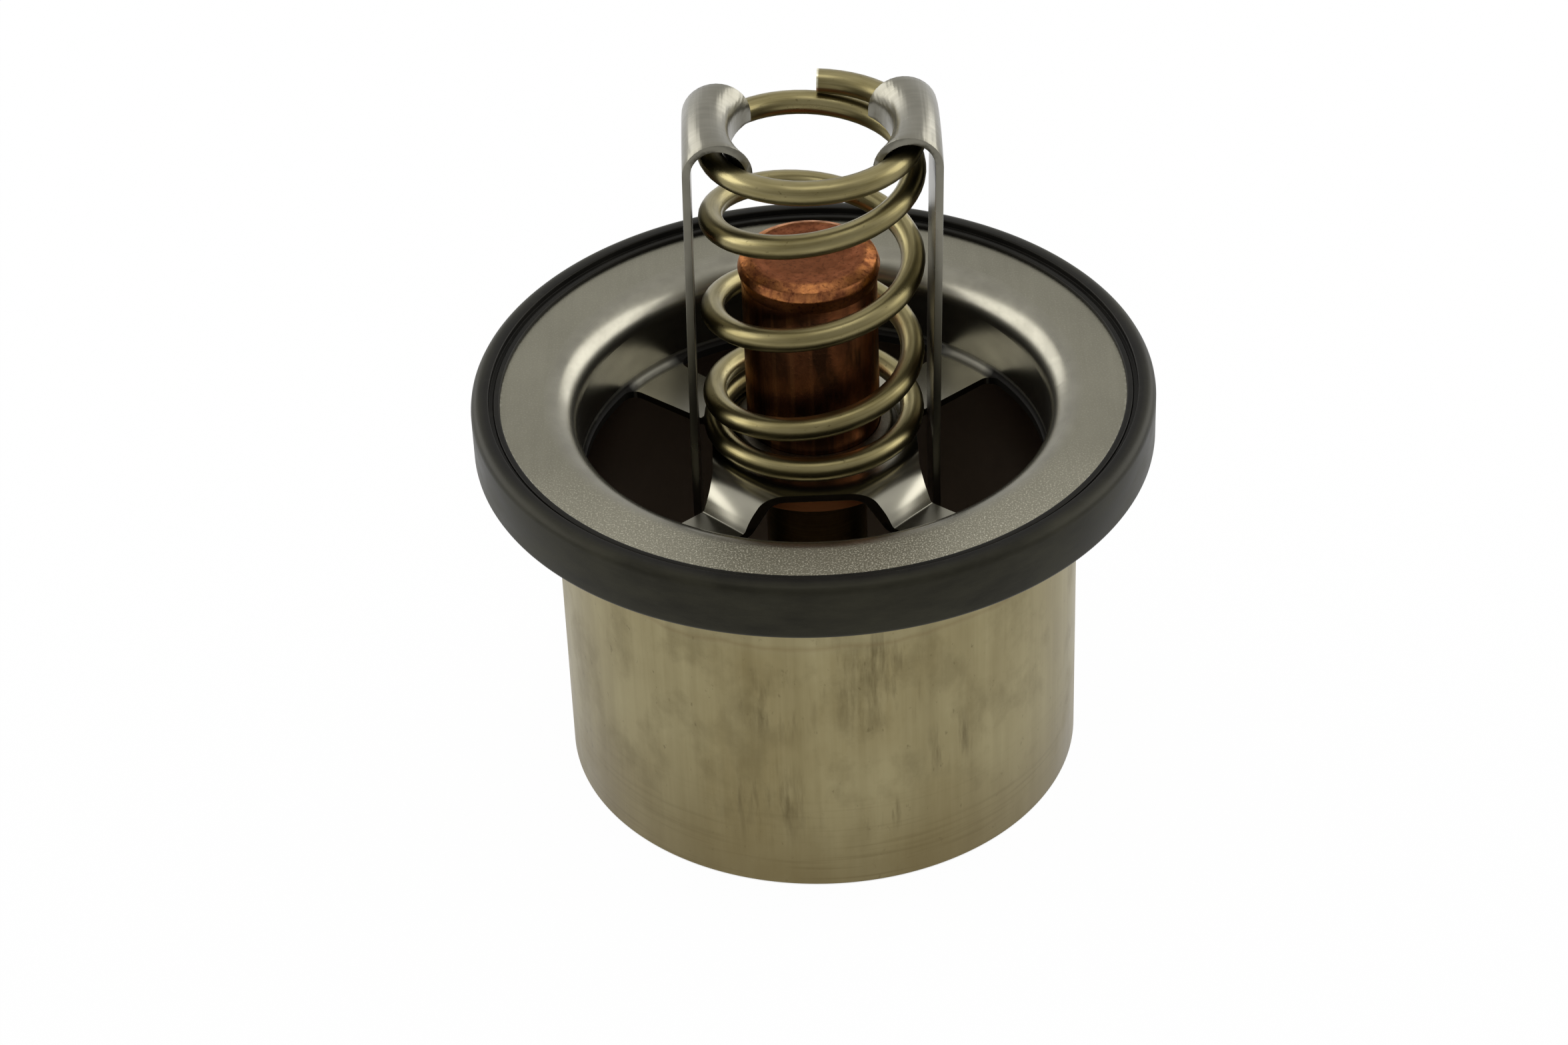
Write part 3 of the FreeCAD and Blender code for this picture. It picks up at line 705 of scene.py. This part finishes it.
def pale_floor():
    """The white sweep that the part stands on. It glows white to the camera and to metal, but
    for the round under the sleeve, where the glow is left out as a painted shadow, and is clear
    from below."""
    bpy.ops.mesh.primitive_plane_add(size=SWEEP_SIZE, location=(0, 0, -SWEEP_DROP))
    floor = bpy.context.object
    floor.name = "floor"
    made = bpy.data.materials.new("white_sweep")
    made.use_nodes = True
    tree = made.node_tree
    shader = tree.nodes["Principled BSDF"]
    feed(tree, shader, Base_Color=SWEEP_COLOUR, Roughness=0.9, Specular_IOR_Level=0.0)
    path = add(tree, "LightPath").outputs
    reflected = math_node(tree, "MAXIMUM", path["Is Glossy Ray"], path["Is Transmission Ray"])
    seen = math_node(tree, "MAXIMUM", times(tree, reflected, SWEEP_REFLECTED),
                     times(tree, path["Is Camera Ray"], SWEEP_SEEN))
    glow = add(tree, "Emission", {"Color": (1, 1, 1, 1), "Strength": 1.0})
    centre = add(tree, "VectorMath", {0: add(tree, "TexCoord").outputs["Object"]},
                 operation="LENGTH").outputs["Value"]
    # Painted shadow: no glow in the round under the sleeve.
    glow_outside_painted_shadow = rising(tree, centre, sleeve_r - sleeve_wall, sleeve_r)
    share = times(tree, seen, glow_outside_painted_shadow)
    mixed = add(tree, "MixShader", {0: share, 1: shader.outputs[0], 2: glow.outputs[0]})
    below = add(tree, "NewGeometry").outputs["Backfacing"]
    clear = add(tree, "BsdfTransparent")
    both = add(tree, "MixShader", {0: below, 1: mixed.outputs[0], 2: clear.outputs[0]})
    tree.links.new(both.outputs[0], tree.nodes["Material Output"].inputs["Surface"])
    floor.data.materials.append(made)


def photo_camera():
    """The camera at the photograph's place, angle and framing."""
    ahead = Vector((0, math.cos(camera_pitch), -math.sin(camera_pitch)))
    level_right = Vector((1, 0, 0))
    level_up = level_right.cross(ahead)
    right = math.cos(camera_roll) * level_right + math.sin(camera_roll) * level_up
    up = right.cross(ahead)
    camera = bpy.data.cameras.new("photo_camera")
    camera.lens = sensor_width * focal_pixels / photo_width
    camera.sensor_width = sensor_width
    holder = bpy.data.objects.new("photo_camera", camera)
    bpy.context.scene.collection.objects.link(holder)
    holder.matrix_world = Matrix((right, up, -ahead)).transposed().to_4x4()
    holder.matrix_world.translation = camera_place
    bpy.context.scene.camera = holder


def studio():
    """Everything round the part."""
    bpy.context.scene.view_settings.view_transform = "Standard"
    studio_world()
    pale_floor()
    photo_camera()
    softbox("overhead_softbox", (0, -0.15, 0.8), width=0.4, depth=0.3, level=1.6)
    softbox("left_softbox", (-0.59, 0.25, 0.34), width=0.94, depth=0.44, level=2.75)
    softbox("right_softbox", (0.59, 0.26, 0.34), width=0.90, depth=0.44, level=2.95)


# Shapes

def rounded(points):
    """A closed profile of (radius, height, rounding) points in millimetres, given back in
    metres with each corner rounded by a short arc."""
    line = []
    for i, (r, z, rounding) in enumerate(points):
        corner = Vector((r, z))
        if rounding == 0:
            line.append(corner * MM)
            continue
        before = Vector(points[i - 1][:2]) - corner
        after = Vector(points[(i + 1) % len(points)][:2]) - corner
        half = before.angle(after) / 2
        middle = corner + (before.normalized() + after.normalized()).normalized() * (
            rounding / math.sin(half))
        start = corner + before.normalized() * rounding / math.tan(half) - middle
        end = corner + after.normalized() * rounding / math.tan(half) - middle
        turn = start.angle_signed(end)
        for step in range(ROUNDING_STEPS + 1):
            spoke = start.copy()
            spoke.rotate(Matrix.Rotation(-turn * step / ROUNDING_STEPS, 2))
            line.append((middle + spoke) * MM)
    return line


def select_none():
    """Nothing is left selected or active from the step before."""
    if bpy.context.object and bpy.context.object.mode != "OBJECT":
        bpy.ops.object.mode_set(mode="OBJECT")
    bpy.ops.object.select_all(action="DESELECT")


def turned(name, profile, sides):
    """Turns a closed profile round the axis: a circle at its first point is extruded and
    resized from point to point, until the last ring meets the first."""
    select_none()
    first = profile[0]
    bpy.ops.mesh.primitive_circle_add(vertices=sides, radius=first[0])
    piece = bpy.context.object
    piece.name = name
    bpy.ops.object.mode_set(mode="EDIT")
    bpy.ops.mesh.select_all(action="SELECT")
    bpy.ops.transform.translate(value=(0, 0, first[1]))
    here = first
    for point in profile[1:] + profile[:1]:
        bpy.ops.mesh.extrude_region_move(
            TRANSFORM_OT_translate={"value": (0, 0, point[1] - here[1])})
        share = point[0] / here[0]
        bpy.ops.transform.resize(value=(share, share, 1), center_override=(0, 0, 0))
        here = point
    bpy.ops.mesh.select_all(action="SELECT")
    bpy.ops.mesh.remove_doubles(threshold=MERGE)
    bpy.ops.mesh.normals_make_consistent(inside=False)
    bpy.ops.object.mode_set(mode="OBJECT")
    return piece


def stand_in(piece, node, body):
    """Smooths a piece and stands it in for its solid."""
    select_only(piece)
    bpy.ops.object.shade_smooth_by_angle(angle=SMOOTH_ANGLE)
    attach(piece, body)
    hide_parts(node)


def finished(piece, node, body, material):
    """Gives a piece of one finish its material and stands it in for its solid."""
    piece.data.materials.append(material)
    stand_in(piece, node, body)


def sleeve():
    """The drawn tube, with a rounded lower edge and a plain upper rim."""
    outer, inner = sleeve_r / MM, (sleeve_r - sleeve_wall) / MM
    top = sleeve_top / MM
    foot_edge, rim_edge = 0.3, 0.06
    profile = rounded([(inner, 0, foot_edge), (outer, 0, foot_edge), (outer, top, rim_edge),
                       (inner, top, rim_edge)])
    finished(turned("drawn_sleeve", profile, SLEEVE_SIDES), "sleeve", "valve",
             sleeve_finish())


def seal_ring():
    """The moulded ring: an inner bead, a groove and the broad outer band."""
    top, outer = flange_top / MM, ring_r / MM
    lip, flange, sheet_under = lip_r / MM, flange_r / MM, (flange_top - sheet) / MM
    bead_outer, groove_outer, under_inner = lip + 0.8, lip + 1.3, flange - 3.4
    bead, groove, crown, under = top + 0.45, top + 0.2, top + 1.0, top - 6.0
    soft_edge, groove_edge, crown_edge, under_edge = 0.2, 0.06, 1.1, 0.6
    profile = rounded([
        (lip, top, 0.05), (lip + 0.05, bead, soft_edge), (bead_outer, bead, soft_edge),
        (bead_outer, groove, groove_edge), (groove_outer, groove, groove_edge),
        (groove_outer, crown, soft_edge), (outer, crown, crown_edge),
        (outer, under, under_edge), (under_inner, under, under_edge),
        (under_inner, sheet_under, 0), (flange, sheet_under, 0), (flange, top, 0)])
    finished(turned("seal_ring", profile, RING_SIDES), "seal_ring", "frame", RUBBER)


def wax_cup():
    """The copper cup, swelled at its head and crimped below the hub."""
    top = cup_top / MM
    hub_under = (hub_top - sheet) / MM
    crimp = crimp_under / MM
    centre, side, wall, dish, top_wall = 0.001, 7.8, 0.7, 0.12, 0.9
    crimp_r, crimp_inner, crimp_hollow, lip = 11.7, 9.9, 11.0, hub_under - 2.5
    swell_edge, crimp_edge = 0.6, 0.4
    profile = rounded([
        (centre, top - dish, 0), (5.2, top - dish, 1.5), (5.9, top, 0.5),
        (6.6, top, swell_edge), (7.9, top - 0.55, swell_edge), (8.2, top - 1.5, swell_edge),
        (side, top - 3.2, swell_edge), (side, hub_under, 0.5),
        (crimp_r, hub_under, crimp_edge), (crimp_r, crimp, crimp_edge),
        (crimp_inner, crimp, 0), (crimp_inner, lip, 0), (crimp_hollow, lip, 0),
        (crimp_hollow, hub_under - wall, 0), (side - wall, hub_under - wall, 0),
        (side - wall, top - top_wall, 0.7), (centre, top - top_wall, 0)])
    finished(turned("wax_cup", profile, CUP_SIDES), "wax_cup", "frame", copper_finish())


def dished_washer():
    """The sprung washer round the cup's foot."""
    low, thick, dish = hub_top / MM, 0.5, 0.9
    bore_r, outer, sharp_edge, bend = 7.85, 10.0, 0.1, 0.4
    profile = rounded([
        (bore_r, low + dish, sharp_edge), (8.9, low + dish, bend), (9.5, low, bend),
        (outer, low, sharp_edge), (outer, low + thick, sharp_edge), (9.75, low + thick, 0.3),
        (9.15, low + dish + thick, 0.6), (bore_r, low + dish + thick, sharp_edge)])
    finished(turned("dished_washer", profile, WASHER_SIDES), "dished_washer", "frame",
             washer_finish())


def coil_drop(turn):
    """How far the wire has come down after this many turns, from the spring's top: a close
    end coil, a pitch that grows evenly, open coils, and the same again in reverse."""
    rise = spring_top - hub_top - 2 * wire_r
    steady_turns = spring_turns - 2 * close_turns - 2 * ramp_turns
    close_share = close_pitch * (2 * close_turns + ramp_turns)
    open_pitch = (rise - close_share) / (steady_turns + ramp_turns)

    def half_drop(t):
        ramp = min(max(t - close_turns, 0), ramp_turns)
        steady = max(t - close_turns - ramp_turns, 0)
        growth = (open_pitch - close_pitch) / ramp_turns
        return (close_pitch * (min(t, close_turns) + ramp) + growth * ramp ** 2 / 2
                + open_pitch * steady)

    middle = spring_turns / 2
    if turn <= middle:
        return half_drop(turn)
    return 2 * half_drop(middle) - half_drop(spring_turns - turn)


def return_spring():
    """The wire's round section, extruded step by step down the coil, with a sheared face at
    each end."""
    select_none()
    steps = round(spring_turns * STEPS_A_TURN)
    turn_step = spring_turns / steps
    bpy.ops.mesh.primitive_circle_add(vertices=WIRE_SIDES, radius=wire_r, fill_type="NGON",
                                      rotation=(math.radians(90), 0, 0))
    piece = bpy.context.object
    piece.name = "return_spring"
    bpy.ops.object.transform_apply(location=False, rotation=True, scale=False)
    bpy.ops.object.mode_set(mode="EDIT")
    bpy.ops.mesh.select_all(action="SELECT")
    bpy.ops.transform.translate(value=(coil_r, 0, spring_top - wire_r))
    turn_about_axis(spring_start)
    for step in range(steps):
        drop = coil_drop((step + 1) * turn_step) - coil_drop(step * turn_step)
        bpy.ops.mesh.extrude_region_move(TRANSFORM_OT_translate={"value": (0, 0, -drop)})
        turn_about_axis(-2 * math.pi * turn_step)
    bpy.ops.mesh.select_all(action="SELECT")
    bpy.ops.mesh.normals_make_consistent(inside=False)
    bpy.ops.object.mode_set(mode="OBJECT")
    wire_places(piece)
    lean_over(piece)
    finished(piece, "return_spring", "frame", wire_finish())
    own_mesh(piece)


def turn_about_axis(angle):
    """Turns what is selected about the part's axis, anticlockwise from above."""
    bpy.ops.transform.rotate(value=-angle, orient_axis="Z", center_override=(0, 0, 0))


def wire_places(piece):
    """Marks each point of the wire with its distance along it and its place round it."""
    marks = piece.data.attributes.new("wire_place", "FLOAT_VECTOR", "POINT")
    length = 2 * math.pi * coil_r * spring_turns
    rings = len(piece.data.vertices) // WIRE_SIDES
    for index in range(len(piece.data.vertices)):
        ring, spoke = divmod(index, WIRE_SIDES)
        angle = 2 * math.pi * spoke / WIRE_SIDES
        marks.data[index].vector = (length * ring / rings, wire_r * math.cos(angle),
                                    wire_r * math.sin(angle))


def strip_half_line(side_y):
    """The +X half of the stirrup's middle line at one place across its width, as (x, z)
    points: along the floor, round the bend, up the strap, over the coil and down to the
    hook's tip."""
    floor_z = stirrup_under + strip / 2
    strap_x = strap_outer - strip / 2
    bend = strip_bend_r + strip / 2
    coil_inner = math.sqrt((coil_r - wire_r) ** 2 - side_y ** 2)
    tail_x = coil_inner - hook_clearance - strip / 2
    arch_r = (strap_x - tail_x) / 2
    arch_z = hook_top - strip / 2 - arch_r
    tail_z = hook_top - strip - hook_tail
    line = [((strap_x - bend) * share, floor_z) for share in (0.05, 0.3, 0.55, 0.8)]
    for step in range(BEND_STEPS + 1):
        angle = math.radians(90) * step / BEND_STEPS
        line.append((strap_x - bend * (1 - math.sin(angle)),
                     floor_z + bend * (1 - math.cos(angle))))
    bend_z = floor_z + bend
    line += [(strap_x, bend_z + (arch_z - bend_z) * step / STRAP_STEPS)
             for step in range(1, STRAP_STEPS)]
    for step in range(ARCH_STEPS + 1):
        angle = math.pi * step / ARCH_STEPS
        line.append((strap_x - arch_r * (1 - math.cos(angle)),
                     arch_z + arch_r * math.sin(angle)))
    line += [(tail_x, arch_z + (tail_z - arch_z) * step / TAIL_STEPS)
             for step in range(1, TAIL_STEPS + 1)]
    return line


def stirrup():
    """One bent strip: a flat grid is laid along the strip's line, which the hooks' ends
    follow further in round the coil, and then gets its thickness, holes and edges."""
    select_none()
    half_rows = len(strip_half_line(0))
    bpy.ops.mesh.primitive_grid_add(x_subdivisions=STRIP_COLUMNS - 1,
                                    y_subdivisions=2 * half_rows - 1)
    piece = bpy.context.object
    piece.name = "stirrup"
    for index, point in enumerate(piece.data.vertices):
        row, column = divmod(index, STRIP_COLUMNS)
        side_y = strip_half * (2 * column / (STRIP_COLUMNS - 1) - 1)
        half = strip_half_line(side_y)
        if row < half_rows:
            x, z = half[half_rows - 1 - row]
            x = -x
        else:
            x, z = half[row - half_rows]
        point.co = (x, side_y, z)
    apply_modifier(piece, "SOLIDIFY", thickness=strip, offset=0.0, use_even_offset=True,
                   use_rim=True, material_offset_rim=1)
    piece.data.materials.append(STRAP)
    piece.data.materials.append(sheared_steel())
    bore(piece, 0, seat_shank_r)
    for x in (-rivet_x, rivet_x):
        bore(piece, x, rivet_r)
    apply_modifier(piece, "BEVEL", width=strip_edge, segments=2, limit_method="ANGLE",
                   angle_limit=BEVEL_ANGLE)
    lean_over(piece)
    stand_in(piece, "stirrup", "valve")


def bore(piece, x, radius):
    """Cuts a round hole through the stirrup's floor."""
    select_none()
    bpy.ops.mesh.primitive_cylinder_add(vertices=BORE_SIDES, radius=radius, depth=4 * strip,
                                        location=(x, 0, stirrup_under))
    cutter = bpy.context.object
    select_only(piece)
    apply_modifier(piece, "BOOLEAN", operation="DIFFERENCE", object=cutter, solver="EXACT")
    bpy.data.objects.remove(cutter)


def lean_over(piece):
    """The hooks and the spring's top stand a little towards +X."""
    for point in piece.data.vertices:
        share = max(0.0, (point.co.z - hub_top) / (hook_top - hub_top))
        point.co.x += lean * share


def apply_modifier(piece, kind, **settings):
    """Adds a modifier with its settings and applies it."""
    select_only(piece)
    bpy.ops.object.modifier_add(type=kind)
    modifier = piece.modifiers[-1]
    for key, value in settings.items():
        setattr(modifier, key, value)
    bpy.ops.object.modifier_apply(modifier=modifier.name)


def select_only(piece):
    """Selects one piece and nothing else."""
    select_none()
    piece.select_set(True)
    bpy.context.view_layer.objects.active = piece


studio()
sleeve()
seal_ring()
wax_cup()
dished_washer()
return_spring()
stirrup()

# The pieces whose solids are kept as they are, each with its finish
kept_solids = {
    "flange_bowl": bowl_steel(),
    "piston_guide": turned_finish("turned_brass", BRASS_DARK, BRASS_PALE, rough=0.3),
    "piston_seat": turned_finish("seat_brass", SEAT_DARK, SEAT_PALE, rough=0.34),
    "piston_rod": turned_finish("ground_rod", ROD_DARK, ROD_PALE, rough=0.18),
    "backup_disc": turned_finish("white_disc", DISC_DARK, DISC_PALE, rough=0.4, metallic=0.0),
    "wax_charge": turned_finish("filled_wax", WAX_DARK, WAX_PALE, rough=0.5, metallic=0.0),
    "diaphragm": RUBBER,
    "rubber_plug": RUBBER,
    "sleeve_bridge": STRAP,
    "rivet_left": STRAP,
    "rivet_right": STRAP,
}
for name, finish in kept_solids.items():
    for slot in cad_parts[name].material_slots:
        slot.material = finish
